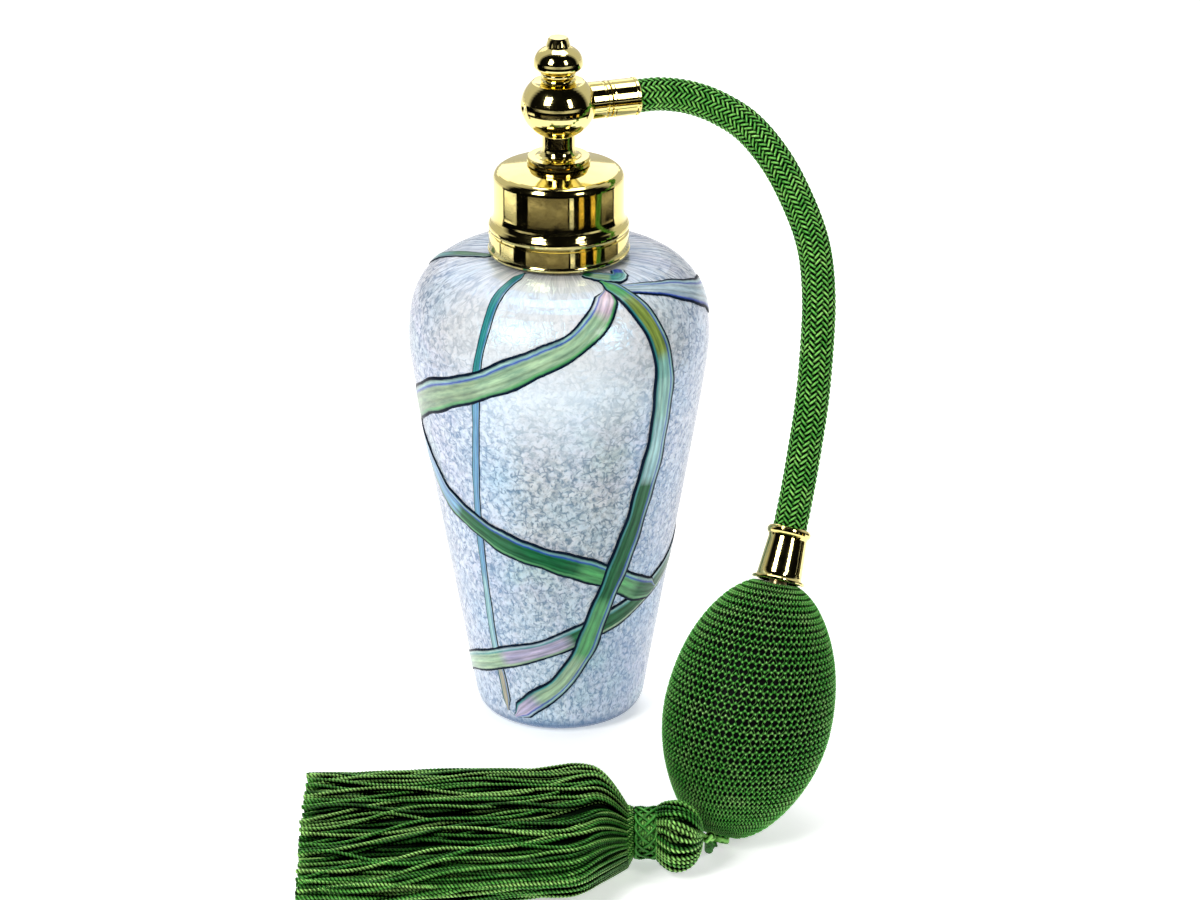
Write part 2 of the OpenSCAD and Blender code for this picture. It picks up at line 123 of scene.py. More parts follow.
def make_reflectors():
    """A dark room in front, with bright and coloured cards in two bands that the gold mirrors."""
    black = (0.001, 0.001, 0.001)
    white = (1, 1, 1)
    brown = (0.2, 0.18, 0.14)
    amber = (0.9, 0.62, 0.12)
    above_table = 0.0010
    above_room = 0.0014
    reflector("dark_room", 0.235, 1.6, -112, 112, above_table, black, 0)
    cards = (
        ("brown_card", -54, 16, brown, 1.3),
        ("thin_card", 19, 26, white, 0.9),
        ("amber_card", 36, 44, amber, 0.9),
        ("slit_card", 58, 66, amber, 1.3),
        ("right_card", 80, 108, brown, 1.6),
    )
    for near, far in ((0.316, 0.326), (0.352, 0.366)):
        reflector("left_card", near - 0.002, far + 0.003, -108, -78, above_room, white, 0.8)
        for name, start, end, colour, glow in cards:
            reflector(name, near, far, start, end, above_room, colour, glow)


def make_sky():
    """Light from all round that falls off to black in front."""
    world = bpy.data.worlds.new("studio")
    world.use_nodes = True
    bpy.context.scene.world = world
    tree = world.node_tree
    sky = tree.nodes["Background"]
    place = tree.nodes.new("ShaderNodeTexCoord")
    parts = tree.nodes.new("ShaderNodeSeparateXYZ")
    ramp = tree.nodes.new("ShaderNodeValToRGB")
    tree.links.new(place.outputs["Generated"], parts.inputs[0])
    tree.links.new(parts.outputs["Y"], ramp.inputs[0])
    tree.links.new(ramp.outputs["Color"], sky.inputs["Color"])
    front, behind = ramp.color_ramp.elements
    front.position = 0.04
    front.color = (0.003, 0.003, 0.003, 1)
    behind.position = 0.3
    behind.color = (0.62, 0.62, 0.62, 1)
    sky.inputs["Strength"].default_value = 1.0


def make_studio():
    """A white glowing table under four soft boxes."""
    soft_box("key", (-0.45, -0.6, 0.62), 0.3, 0.45, 5.4)
    soft_box("fill", (0.5, -0.6, 0.5), 0.16, 0.4, 2.0)
    soft_box("top", (0.05, 0.2, 0.95), 0.6, 0.4, 3.4)
    soft_box("back", (-0.1, 0.9, 0.6), 0.9, 0.5, 1.5)

    half = 2.5
    white = (0.93, 0.93, 0.93)
    corners = [(-half, -half, 0), (half, -half, 0), (half, half, 0), (-half, half, 0)]
    table = stage_sheet("table", corners, white, 0.55)
    table.location.z = -0.0001
    make_reflectors()
    make_sky()
    bpy.context.scene.view_settings.view_transform = "Standard"


# ---- Materials ----


class Shader:
    """A material whose nodes are added by name and joined by links."""

    def __init__(self, name):
        self.material = bpy.data.materials.new(name)
        self.material.use_nodes = True
        self.tree = self.material.node_tree
        self.surface = self.tree.nodes["Principled BSDF"]

    def node(self, kind, **settings):
        node = self.tree.nodes.new("ShaderNode" + kind)
        for key, value in settings.items():
            setattr(node, key, value)
        return node

    def link(self, source, target):
        self.tree.links.new(source, target)

    def fix(self, **values):
        """Sets sockets of the surface shader that are the same all over."""
        for key, value in values.items():
            self.surface.inputs[key.replace("_", " ").title()].default_value = value

    def feed(self, socket, value):
        """Links a socket to another one, or sets it to a number or a colour."""
        if isinstance(value, bpy.types.NodeSocket):
            self.link(value, socket)
        elif socket.type == "RGBA":
            socket.default_value = (*value, 1)
        else:
            socket.default_value = value

    def ramp(self, source, *stops):
        """A colour ramp over source. Each stop is (position, colour or grey level)."""
        node = self.node("ValToRGB")
        elements = node.color_ramp.elements
        while len(elements) > 1:
            elements.remove(elements[-1])
        for i, (position, colour) in enumerate(stops):
            element = elements[0] if i == 0 else elements.new(position)
            element.position = position
            rgb = (colour,) * 3 if isinstance(colour, (int, float)) else colour
            element.color = (*rgb, 1)
        self.link(source, node.inputs[0])
        return node.outputs["Color"]

    def maths(self, operation, a, b):
        node = self.node("Math", operation=operation)
        self.feed(node.inputs[0], a)
        self.feed(node.inputs[1], b)
        return node.outputs[0]

    def vector(self, operation, a, b):
        """Vector arithmetic. Each of the two may be a socket or a constant."""
        node = self.node("VectorMath", operation=operation)
        self.feed(node.inputs[0], a)
        self.feed(node.inputs[1], b)
        return node.outputs["Value" if operation == "DISTANCE" else "Vector"]

    def scaled(self, vector, factor):
        node = self.node("VectorMath", operation="SCALE")
        node.inputs["Scale"].default_value = factor
        self.link(vector, node.inputs[0])
        return node.outputs["Vector"]

    def split(self, vector):
        """The three parts of a vector or a colour."""
        node = self.node("SeparateXYZ")
        self.link(vector, node.inputs[0])
        return node.outputs

    def join(self, *parts):
        """A vector from up to three parts, with 0 for the rest."""
        node = self.node("CombineXYZ")
        for socket, part in zip(node.inputs, parts):
            self.feed(socket, part)
        return node.outputs[0]

    def mix(self, share, a, b, mode="MIX"):
        """Mixes two colours. Each of the three may be a socket or a constant."""
        node = self.node("Mix", data_type="RGBA", blend_type=mode)
        self.feed(node.inputs[0], share)
        self.feed(node.inputs[6], a)
        self.feed(node.inputs[7], b)
        return node.outputs[2]

    def place(self):
        """The point's place in the row frame, in millimetres."""
        return self.scaled(self.node("TexCoord").outputs["Object"], 1 / MM)

    def noise(self, where, scale, detail=3.0, roughness=0.5):
        node = self.node("TexNoise")
        node.inputs["Scale"].default_value = scale
        node.inputs["Detail"].default_value = detail
        node.inputs["Roughness"].default_value = roughness
        self.link(where, node.inputs["Vector"])
        return node.outputs["Fac"]

    def cells(self, where, scale, feature):
        """Cells of a Voronoi pattern, as a node."""
        node = self.node("TexVoronoi", feature=feature)
        node.inputs["Scale"].default_value = scale
        self.link(where, node.inputs["Vector"])
        return node

    def bump(self, height, distance, strength):
        node = self.node("Bump")
        node.inputs["Strength"].default_value = strength
        node.inputs["Distance"].default_value = distance
        self.link(height, node.inputs["Height"])
        return node.outputs["Normal"]


def gilt_material():
    """Bright pale gold plate with faint handling marks."""
    shader = Shader("gold_plate")
    where = shader.place()
    cloud = shader.noise(where, 0.12, 4)
    tone = shader.ramp(cloud, (0.3, (0.84, 0.70, 0.25)), (0.7, (0.91, 0.79, 0.33)))
    shader.link(tone, shader.surface.inputs["Base Color"])
    smear = shader.noise(where, 0.35, 6, 0.65)
    shader.link(shader.ramp(smear, (0.35, 0.045), (0.75, 0.13)), shader.surface.inputs["Roughness"])
    scratch = shader.noise(where, 2.2, 2)
    shader.link(shader.bump(scratch, 0.000004, 0.35), shader.surface.inputs["Normal"])
    shader.fix(metallic=1.0)
    return shader.material


def turned_material(name, light, dark, roughness):
    """Bare turned metal with fine rings and a little tarnish."""
    shader = Shader(name)
    where = shader.place()
    patina = shader.noise(where, 0.5, 5)
    shader.link(shader.ramp(patina, (0.35, dark), (0.65, light)), shader.surface.inputs["Base Color"])
    rings = shader.noise(where, 6.0, 2)
    shader.link(shader.bump(rings, 0.00001, 0.4), shader.surface.inputs["Normal"])
    shader.fix(metallic=1.0, roughness=roughness)
    return shader.material


def soft_material(name, light, dark, roughness, grain=1.5, gloss=0.5):
    """Rubber, plastic and yarn painted dark as shade: cloudy colour and a fine grain."""
    shader = Shader(name)
    where = shader.place()
    cloud = shader.noise(where, 0.6, 4)
    shader.link(shader.ramp(cloud, (0.35, dark), (0.65, light)), shader.surface.inputs["Base Color"])
    fine = shader.noise(where, grain, 3)
    shader.link(shader.bump(fine, 0.00003, 0.5), shader.surface.inputs["Normal"])
    shader.fix(roughness=roughness)
    shader.surface.inputs["Specular IOR Level"].default_value = gloss
    return shader.material


# The net's greens are a paler, brighter copy of the silk's, as painted light that brightens the net
GREENS = dict(
    light=(0.5, 1.0, 0.24),
    mid=(0.075, 0.52, 0.055),
    dark=(0.004, 0.08, 0.006),
    tint=(0.66, 1.0, 0.42),
)
LIT_NET_GREENS = dict(
    light=(0.62, 1.0, 0.36),
    mid=(0.13, 0.85, 0.1),
    dark=(0.01, 0.22, 0.01),
    tint=(0.66, 1.0, 0.42),
)


def yarn_material(name, light, mid, dark, tint):
    """Rayon yarn, with painted shade in the grooves between strands.

    The yarn attribute holds the turn round a strand, millimetres along it, and its tone. The
    other attribute is painted light: 1 where the strand faces outwards, 0 as painted shade underneath.
    """
    shader = Shader(name)
    yarn = shader.node("Attribute", attribute_name="yarn")
    turn, along, tone = shader.split(yarn.outputs["Vector"])

    # Filaments run along the strand and wind slowly round it
    round_strand = shader.maths("MULTIPLY", turn, 9.0)
    wound = shader.maths("ADD", round_strand, shader.maths("MULTIPLY", along, 0.9))
    drawn_out = shader.maths("MULTIPLY", along, 0.25)
    lay = shader.join(wound, drawn_out, shader.maths("MULTIPLY", tone, 40.0))
    filament = shader.noise(lay, 2.2, 3, 0.6)

    patches = shader.noise(shader.place(), 0.25, 3)
    streak = shader.maths("MULTIPLY", filament, 0.55)
    shade = shader.maths("ADD", streak, shader.maths("MULTIPLY", tone, 0.3))
    shade = shader.maths("ADD", shade, shader.maths("MULTIPLY", patches, 0.2))
    colour = shader.ramp(shade, (0.36, dark), (0.5, mid), (0.64, light))
    # Painted shade: colour and gloss are darkened where the strand's painted light is low
    painted_light = shader.node("Attribute", attribute_name="painted_light").outputs["Fac"]
    painted_light_share = shader.ramp(painted_light, (0.42, 0.0), (0.74, 0.32), (0.97, 1.0))
    shader.surface.inputs["Specular IOR Level"].default_value = 0.35
    shader.link(painted_light_share, shader.surface.inputs["Specular IOR Level"])
    colour = shader.mix(1.0, colour, painted_light_share, "MULTIPLY")
    shader.link(colour, shader.surface.inputs["Base Color"])
    shader.link(shader.ramp(filament, (0.3, 0.5), (0.7, 0.24)), shader.surface.inputs["Roughness"])
    shader.link(shader.bump(filament, 0.00006, 0.8), shader.surface.inputs["Normal"])
    shader.fix(metallic=0.15, specular_tint=(*tint, 1))
    return shader.material


def wrapped_round(shader, where):
    """Places for a pattern drawn on an upright cylinder, and the height, in millimetres.

    A pattern drawn so stretches over the bottle's shoulder, as blown frit does.
    """
    usual_radius = 30.0
    x, y, z = shader.split(where)
    outward = shader.node("VectorMath", operation="NORMALIZE")
    shader.link(shader.join(x, y), outward.inputs[0])
    rim = shader.scaled(outward.outputs[0], usual_radius)
    height = shader.maths("MULTIPLY", z, 1 / MM)
    return shader.vector("ADD", rim, shader.join(0, 0, height)), height


def frit_colour(shader, wrap, bent):
    """Grains that are pale in the middle and greyer in the seams between them."""
    grains = shader.cells(bent, 0.62, "DISTANCE_TO_EDGE")
    seam = shader.ramp(grains.outputs["Distance"], (0.02, 0.0), (0.17, 1.0))
    mottle = shader.noise(bent, 0.75, 3, 0.62)
    patchy = shader.noise(wrap, 0.6, 3, 0.6)
    where_seams = shader.ramp(patchy, (0.46, 0.0), (0.56, 1.0))

    # The skin drifts between white, pale blue, lilac and green
    drift = shader.noise(wrap, 0.045, 3, 0.55)
    skin = shader.ramp(
        drift,
        (0.30, (0.76, 0.87, 0.92)),
        (0.42, (0.90, 0.92, 0.95)),
        (0.50, (0.97, 0.95, 0.94)),
        (0.58, (0.92, 0.88, 0.93)),
        (0.70, (0.84, 0.93, 0.89)),
    )
    tint = shader.noise(wrap, 0.9, 2)
    clouds = shader.ramp(tint, (0.3, (0.62, 0.78, 0.9)), (0.7, (1.0, 0.98, 1.0)))
    body = shader.mix(0.4, skin, clouds, "MULTIPLY")
    body = shader.mix(1.0, body, (0.74, 0.745, 0.745), "MULTIPLY")
    grey = shader.mix(0.95, body, (0.2, 0.27, 0.35), "MULTIPLY")
    milk = shader.ramp(mottle, (0.36, (0.55, 0.6, 0.66)), (0.46, 0.88), (0.58, 1.2))
    body = shader.mix(1.0, body, milk, "MULTIPLY")
    seam_share = shader.maths("MULTIPLY", shader.maths("SUBTRACT", 1.0, seam), where_seams)
    frit = shader.mix(shader.maths("MULTIPLY", seam_share, 0.85), body, grey)
    relief = shader.maths("ADD", shader.maths("MULTIPLY", seam, 0.25), mottle)
    return frit, relief


def fleck_share(shader, bent):
    """Short dark dashes in some of the grains, drawn out along the bottle."""
    longer = shader.vector("MULTIPLY", bent, (1, 1, 0.5))
    seeds = shader.cells(longer, 0.8, "F1")
    draw = shader.split(seeds.outputs["Color"])[0]
    is_chosen = shader.maths("GREATER_THAN", draw, 0.5)
    spot = shader.ramp(seeds.outputs["Distance"], (0.14, 1.0), (0.3, 0.0))
    return shader.maths("MULTIPLY", shader.maths("MULTIPLY", spot, is_chosen), 0.8)


def glass_material():
    """White opal glass with a fine frit, dark flecks and an iridescent skin."""
    shader = Shader("opal_frit")
    where = shader.node("TexCoord").outputs["Object"]
    wrap, height = wrapped_round(shader, where)

    # A little swirl bends the frit's grains
    wobble = shader.node("TexNoise")
    wobble.inputs["Scale"].default_value = 0.35
    shader.link(wrap, wobble.inputs["Vector"])
    bent = shader.vector("ADD", wrap, shader.scaled(wobble.outputs["Color"], 2.4))
    frit, relief = frit_colour(shader, wrap, bent)
    colour = shader.mix(fleck_share(shader, bent), frit, (0.14, 0.19, 0.25))

    # A broad painted highlight below the collar at the front is almost pure white, standing for glare
    # there
    glare_middle = (-0.002, -0.03, 0.102)
    white = (0.96, 0.965, 0.96)
    away = shader.vector("DISTANCE", where, glare_middle)
    reach = shader.ramp(shader.maths("MULTIPLY", away, 30.0), (0.4, 0.95), (1.15, 0.0))
    colour = shader.mix(reach, colour, shader.mix(0.3, white, colour))

    # Darker deep blue towards the foot, over the lowest 4 mm of the glass
    deep_blue = (0.05, 0.10, 0.17)
    foot = shader.ramp(shader.maths("DIVIDE", height, 10.0), (0.2, 1.0), (0.42, 0.0))
    colour = shader.mix(shader.maths("MULTIPLY", foot, 0.9), colour, deep_blue)
    shader.link(colour, shader.surface.inputs["Base Color"])

    shader.link(shader.bump(relief, 0.0003, 0.5), shader.surface.inputs["Normal"])
    shader.fix(roughness=0.26, coat_weight=0.25, coat_roughness=0.1)
    shader.surface.inputs["IOR"].default_value = 1.52
    shader.surface.inputs["Thin Film Thickness"].default_value = 180.0
    shader.surface.inputs["Thin Film IOR"].default_value = 1.9
    return shader.material


def trail_material():
    """Glass trails. The layers attribute holds their colours, streaked along their length."""
    shader = Shader("trail_glass")
    layers = shader.node("Attribute", attribute_name="layers")
    ribbon = shader.node("Attribute", attribute_name="ribbon")
    streaks = shader.noise(ribbon.outputs["Vector"], 1.0, 5, 0.6)
    light = shader.mix(0.3, layers.outputs["Color"], (0.95, 1.0, 0.9), "SOFT_LIGHT")
    dark = shader.mix(0.7, layers.outputs["Color"], (0.25, 0.4, 0.5), "MULTIPLY")
    share = shader.ramp(streaks, (0.36, 0.0), (0.66, 0.9))
    shader.link(shader.mix(share, dark, light), shader.surface.inputs["Base Color"])
    shader.link(shader.bump(streaks, 0.00005, 0.5), shader.surface.inputs["Normal"])
    gloss = shader.ramp(layers.outputs["Color"], (0.02, 0.02), (0.25, 0.5))
    shader.link(gloss, shader.surface.inputs["Specular IOR Level"])
    shader.link(shader.maths("MULTIPLY", gloss, 0.6), shader.surface.inputs["Coat Weight"])
    shader.fix(roughness=0.28, coat_roughness=0.05)
    return shader.material


# ---- Curves ----


def bezier(a, b, c, d, steps):
    """A cubic curve through four points, as an array of steps + 1 points."""
    t = np.linspace(0, 1, steps + 1)[:, None]
    a, b, c, d = (np.array(p, float) for p in (a, b, c, d))
    s = 1 - t
    return s**3 * a + 3 * s * s * t * b + 3 * s * t * t * c + t**3 * d


def smooth_path(points, steps):
    """A smooth curve through the points, with steps pieces between neighbours."""
    p = np.array(points, float)
    p = np.vstack([2 * p[0] - p[1], p, 2 * p[-1] - p[-2]])
    line = []
    for a, b, c, d in zip(p[:-3], p[1:-2], p[2:-1], p[3:]):
        for t in np.arange(steps) / steps:
            cubic = (3 * b - a - 3 * c + d) * t**3
            line.append(0.5 * (2 * b + (c - a) * t + (2 * a - 5 * b + 4 * c - d) * t * t + cubic))
    line.append(p[-2])
    return np.array(line)


def unit(v):
    return v / np.maximum(np.linalg.norm(v, axis=-1, keepdims=True), 1e-12)


def measured(line):
    """The distance along a line at each of its points."""
    return np.concatenate([[0], np.cumsum(np.linalg.norm(np.diff(line, axis=0), axis=1))])


def at_lengths(line, values, wanted):
    """The values given along a line, read at the wanted distances along it."""
    along = measured(line)
    return np.stack([np.interp(wanted, along, values[:, k]) for k in range(values.shape[1])], axis=1)


def directions(line):
    return unit(np.gradient(line, axis=0))


def carried(line, side):
    """A side vector at each point of a line, carried along it without twist."""
    out = []
    for t in directions(line):
        side = unit(np.array(side) - np.dot(side, t) * t)
        out.append(side)
    return np.array(out)


def facings(outline):
    """The outward direction at each point of an outline that runs upwards."""
    slope = directions(outline)
    return np.stack([slope[:, 1], -slope[:, 0]], axis=1)


def on_turned(radius, angle, level):
    """Points, or directions, round a turned shape."""
    return np.stack([radius * np.cos(angle), radius * np.sin(angle), level], axis=1)


# ---- Strands: many swept tubes in one mesh ----


class Strands:
    """Gathers swept strands, and writes the attributes that yarn_material reads."""

    def __init__(self):
        self.points = []
        self.faces = []
        self.yarn = []
        self.painted_light = []
        self.count = 0

    def add(self, line, normals, section, closed=False, lit=1.0, spread=1.0, relief=1.0, bare=0.0):
        """Sweeps section along line.

        section holds offsets along the normal and sideways. lit scales the strand's painted light, and
        relief does so point by point, for painted shade in grooves and painted highlights. spread is how
        far its tone may stray from the middle. bare is its underside's least painted light, at each point.
        """
        n, m = section.shape[:2]
        if closed:
            forward = unit(np.roll(line, -1, axis=0) - np.roll(line, 1, axis=0))
        else:
            forward = directions(line)
        side = unit(np.cross(forward, normals))
        normal = np.cross(side, forward)
        rings = line[:, None] + section[..., :1] * normal[:, None] + section[..., 1:] * side[:, None]
        self.points.append(rings.reshape(-1, 3))

        row = np.arange(n if closed else n - 1)[:, None]
        after = (row + 1) % n
        j = np.arange(m)[None]
        k = (j + 1) % m
        quads = np.stack([row * m + j, row * m + k, after * m + k, after * m + j], axis=-1)
        self.faces += (quads.reshape(-1, 4) + self.count).tolist()
        if not closed:
            self.faces.append((np.arange(m)[::-1] + self.count).tolist())
            self.faces.append((np.arange(m) + (n - 1) * m + self.count).tolist())

        yarn = np.zeros((n, m, 3))
        yarn[..., 0] = np.arange(m) / m
        yarn[..., 1] = (measured(line) / MM)[:, None]
        yarn[..., 2] = 0.5 + spread * (chance.random() - 0.5)
        self.yarn.append(yarn.reshape(-1, 3))
        # Painted shade: each strand's underside is painted darker than the side facing outwards
        reach = np.maximum(np.linalg.norm(section, axis=-1), 1e-9)
        outness = np.maximum(0.5 + 0.5 * section[..., 0] / reach, np.reshape(bare, (-1, 1)))
        self.painted_light.append((lit * outness * np.clip(relief, 0, 1)).ravel())
        self.count += n * m

    def piece(self, name, material):
        """The strands as one Blender object."""
        thing = mesh_piece(name, np.vstack(self.points), self.faces, material)
        store = thing.data.attributes.new("yarn", "FLOAT_VECTOR", "POINT")
        store.data.foreach_set("vector", np.vstack(self.yarn).ravel())
        store = thing.data.attributes.new("painted_light", "FLOAT", "POINT")
        store.data.foreach_set("value", np.concatenate(self.painted_light))
        return thing


def mesh_piece(name, points, faces, material):
    """A smooth-shaded mesh object."""
    mesh = bpy.data.meshes.new(name)
    mesh.from_pydata(np.asarray(points).tolist(), [], faces)
    mesh.polygons.foreach_set("use_smooth", [True] * len(mesh.polygons))
    mesh.update()
    thing = bpy.data.objects.new(name, mesh)
    bpy.context.scene.collection.objects.link(thing)
    thing.data.materials.append(material)
    return thing


def around(sides):
    """Evenly spaced angles round a circle."""
    return TURN * np.arange(sides) / sides


def oval(count, sides, thick, wide):
    """The same oval section at every ring. thick is along the normal, in half sizes."""
    a = around(sides)
    ring = np.stack([thick * np.cos(a), wide * np.sin(a)], axis=1)
    return np.repeat(ring[None], count, axis=0)


def lobes(line, lay, plies=2, sides=6):
    """How high each point of a twisted cord stands, from 0 in the groove to 1 on a ply."""
    turn = TURN * measured(line)[:, None] / lay
    return 0.5 + 0.5 * np.cos(plies * (around(sides) - turn))


def twisted(line, radius, lay, plies=2, depth=0.3, sides=6, shrink=1.0):
    """The section of a twisted cord: plies lobes that turn once in each lay."""
    a = around(sides)
    r = radius * (1 - depth + depth * lobes(line, lay, plies, sides))
    r = r * np.reshape(shrink, (-1, 1))
    return np.stack([r * np.cos(a), r * np.sin(a)], axis=-1)


def loft(rings):
    """Points and faces of a closed solid through rings of equal length."""
    n, m = rings.shape[:2]
    row = np.arange(n - 1)[:, None]
    j = np.arange(m)[None]
    k = (j + 1) % m
    quads = np.stack([row * m + j, row * m + k, (row + 1) * m + k, (row + 1) * m + j], axis=-1)
    faces = quads.reshape(-1, 4).tolist()
    faces.append(np.arange(m)[::-1].tolist())
    faces.append((np.arange(m) + (n - 1) * m).tolist())
    return rings.reshape(-1, 3), faces


def revolved(outline, sides):
    """Rings of a revolved outline, each outline point being radius and height."""
    a = around(sides)
    rings = np.zeros((len(outline), sides, 3))
    rings[..., 0] = outline[:, :1] * np.cos(a)
    rings[..., 1] = outline[:, :1] * np.sin(a)
    rings[..., 2] = outline[:, 1:]
    return rings


def turned_round_x(x, y, z, radius, sides=32):
    """Rings that face along X, with their middles at x, y and z."""
    a = around(sides)
    rings = np.zeros((len(x), sides, 3))
    rings[..., 0] = x[:, None]
    rings[..., 1] = np.reshape(y, (-1, 1)) + np.reshape(radius, (-1, 1)) * np.cos(a)
    rings[..., 2] = np.reshape(z, (-1, 1)) + np.reshape(radius, (-1, 1)) * np.sin(a)
    return rings


def spokes(a):
    """Outward directions round X, at the angles a."""
    return np.stack([0 * a, np.cos(a), np.sin(a)], axis=1)


# ---- Hose ----

HOSE_R = 3.65 * MM
HOSE_ROUTE = [
    (12.4, 4.1, 145.4), (17.4, 5.8, 145.4), (22.8, 7.5, 145.3), (29.3, 8.2, 144.2), (35.9, 7, 142),
    (42.6, 3.5, 138.4), (49, -3, 132), (54, -10.5, 123.7), (56.5, -17, 117), (57.3, -23.5, 109),
    (56.9, -29, 100.5), (55.8, -34, 89), (54.3, -37.5, 79.5), (52.6, -40.7, 70), (50.9, -44, 62.3),
    (49.5, -46.9, 56.8),
]


def make_hose(yarn, painted_shade_material):
    """A rubber tube under a braid of 32 yarns, 16 each way, each over two and under two."""
    line = smooth_path(np.array(HOSE_ROUTE) * MM, 8)
    length = measured(line)[-1]
    side = carried(line, (0, 1, 0))
    carriers = 16
    pitch = 21 * MM
    step = pitch / (2 * carriers)
    half_thick = 0.23 * MM
    half_wide = 0.29 * MM
    lift = 0.21 * MM
    sunk = 0.12 * MM
    middle = HOSE_R - half_thick - lift + sunk

    rings = 450
    along = np.linspace(0, length, rings)
    centre = at_lengths(line, line, along)
    forward = directions(centre)
    right = unit(at_lengths(line, side, along))
    up = np.cross(forward, right)
    section = oval(rings, 8, half_thick, half_wide)
    braid = Strands()
    for way in (1, -1):
        for i in range(carriers):
            crossing = 2 * i + way * along / step
            angle = crossing * math.pi / carriers
            weave = way * np.clip(1.4 * np.cos(TURN * (crossing - 0.5) / 4), -1, 1)
            out = np.cos(angle)[:, None] * right + np.sin(angle)[:, None] * up
            path = centre + (middle + lift * weave)[:, None] * out
            # Painted shade: each yarn is painted darker where it dips under the crossing yarns
            over = (0.64 + 0.7 * np.clip(weave, -0.7, 0.6))[:, None]
            braid.add(path, out, section, spread=0.2, relief=over)
    hose = braid.piece("hose_braid", yarn)

    # The tube is painted near-black green, as the shade seen through the braid's gaps
    tube_rings = 90
    tube_r = middle - lift / 2
    coarse = np.linspace(0, length, tube_rings)
    inner = at_lengths(line, line, coarse)
    tube = Strands()
    tube.add(inner, at_lengths(line, side, coarse), oval(tube_rings, 24, tube_r, tube_r))
    core = tube.piece("hose_core", painted_shade_material)

    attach(hose, "bulb")
    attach(core, "bulb")
    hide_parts("air_hose")


# ---- Bulb ----

BULB_TOP = Vector((48.2, -49.6, 51.8)) * MM
BULB_TURN = Matrix.Rotation(math.radians(64), 3, "Z") @ Matrix.Rotation(math.radians(30.6), 3, "Y")
BULB_L = 57 * MM
NET_R = 18.4 * MM
NET_ROWS = 46
NET_COLUMNS = 74


def on_bulb(points):
    """Moves points from the bulb's own frame, +Z up its axis from its top, into the row frame."""
    return np.asarray(points) @ np.array(BULB_TURN).T + np.array(BULB_TOP)


def bulb_meridian(inset):
    """Radius and height of the bulb from its tip to its neck."""
    radius = NET_R - inset
    wide = (radius, -0.52 * BULB_L)
    end = inset - BULB_L
    low = bezier((2.6 * MM, end), (8 * MM, end), (radius, 13 * MM - BULB_L), wide, 40)
    neck = (4.2 * MM, -inset)
    high = bezier(wide, (radius, -12 * MM), (9.5 * MM - inset, -1.5 * MM - inset), neck, 40)
    return np.vstack([low, high[1:]])


def turned_in_bulb(directions_in_bulb):
    """Turns directions from the bulb's own frame into the row frame."""
    return directions_in_bulb @ np.array(BULB_TURN).T


def net_rows(net, outline):
    """Closed rows that weave up and down from knot to knot, tilted because the net sits askew."""
    thread = 0.25 * MM
    skew = 0.38
    lowest = math.radians(181)
    points_per_knot = 6
    outward = facings(outline)
    height = measured(outline)[-1]
    gap = height / NET_ROWS
    angle = around(NET_COLUMNS * points_per_knot)
    for row in range(NET_ROWS):
        wave = np.cos(NET_COLUMNS * angle + math.pi * row)
        jitter = 0.05 * gap * np.sin(5 * angle + 2.1 * row)
        level_ring = (row + 0.5) * gap
        girth = at_lengths(outline, outline[:, :1], [level_ring])[0, 0]
        tilt = skew * girth * np.cos(angle - lowest)
        place = np.clip(level_ring - tilt + 0.2 * gap * wave + jitter, 0, height)
        radius, level = at_lengths(outline, outline, place).T
        lean, rise = unit(at_lengths(outline, outward, place)).T
        normal = on_turned(lean, angle, rise)
        knot = np.abs(wave) ** 3
        ring = on_turned(radius, angle, level) + normal * (0.16 * MM * knot)[:, None]
        crowd = np.clip(radius / (9 * MM), 0.45, 1)
        section = oval(len(ring), 5, thread, thread) * ((0.72 + 0.9 * knot) * crowd)[:, None, None]
        # Painted highlight on the knots and painted shade on the thread between them
        glint = (0.58 + 0.7 * knot)[:, None]
        facing = turned_in_bulb(normal)
        net.add(on_bulb(ring), facing, section, closed=True, spread=0.15, relief=glint)


def net_columns(net, outline):
    """Thinner threads that run lengthwise from knot to knot under the rows."""
    thread = 0.13 * MM
    steps = NET_ROWS * 3
    height = measured(outline)[-1]
    gap = height / NET_ROWS
    up = np.linspace(0.4 * gap, height - 0.4 * gap, steps)
    radius, level = at_lengths(outline, outline, up).T
    lean, rise = unit(at_lengths(outline, facings(outline), up)).T
    crowd = np.clip(radius / (9 * MM), 0.3, 1)[:, None, None]
    section = oval(steps, 4, thread, thread) * crowd
    for column in range(NET_COLUMNS):
        sway = 0.25 * (-1) ** column * np.cos(math.pi * up / gap)
        turn = TURN * (column + sway) / NET_COLUMNS
        strand = on_turned(radius, turn, level)
        facing = turned_in_bulb(on_turned(lean, turn, rise))
        # The columns are painted a little darker, as shade under the rows
        net.add(on_bulb(strand), facing, section, spread=0.15, relief=0.72)


def make_bulb(yarn, rubber):
    """A rubber bulb in a knotted net."""
    skin_points, skin_faces = loft(revolved(bulb_meridian(0.75 * MM), 96))
    skin = mesh_piece("bulb_skin", on_bulb(skin_points), skin_faces, rubber)

    outline = bulb_meridian(0.34 * MM)
    net = Strands()
    net_rows(net, outline)
    net_columns(net, outline)
    cover = net.piece("bulb_net", yarn)

    for piece, node, slot in ((skin, "rubber_bulb", "bulb_rubber"), (cover, "net_cover", "net")):
        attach(piece, "bulb")
        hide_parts(node)
        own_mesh(piece)


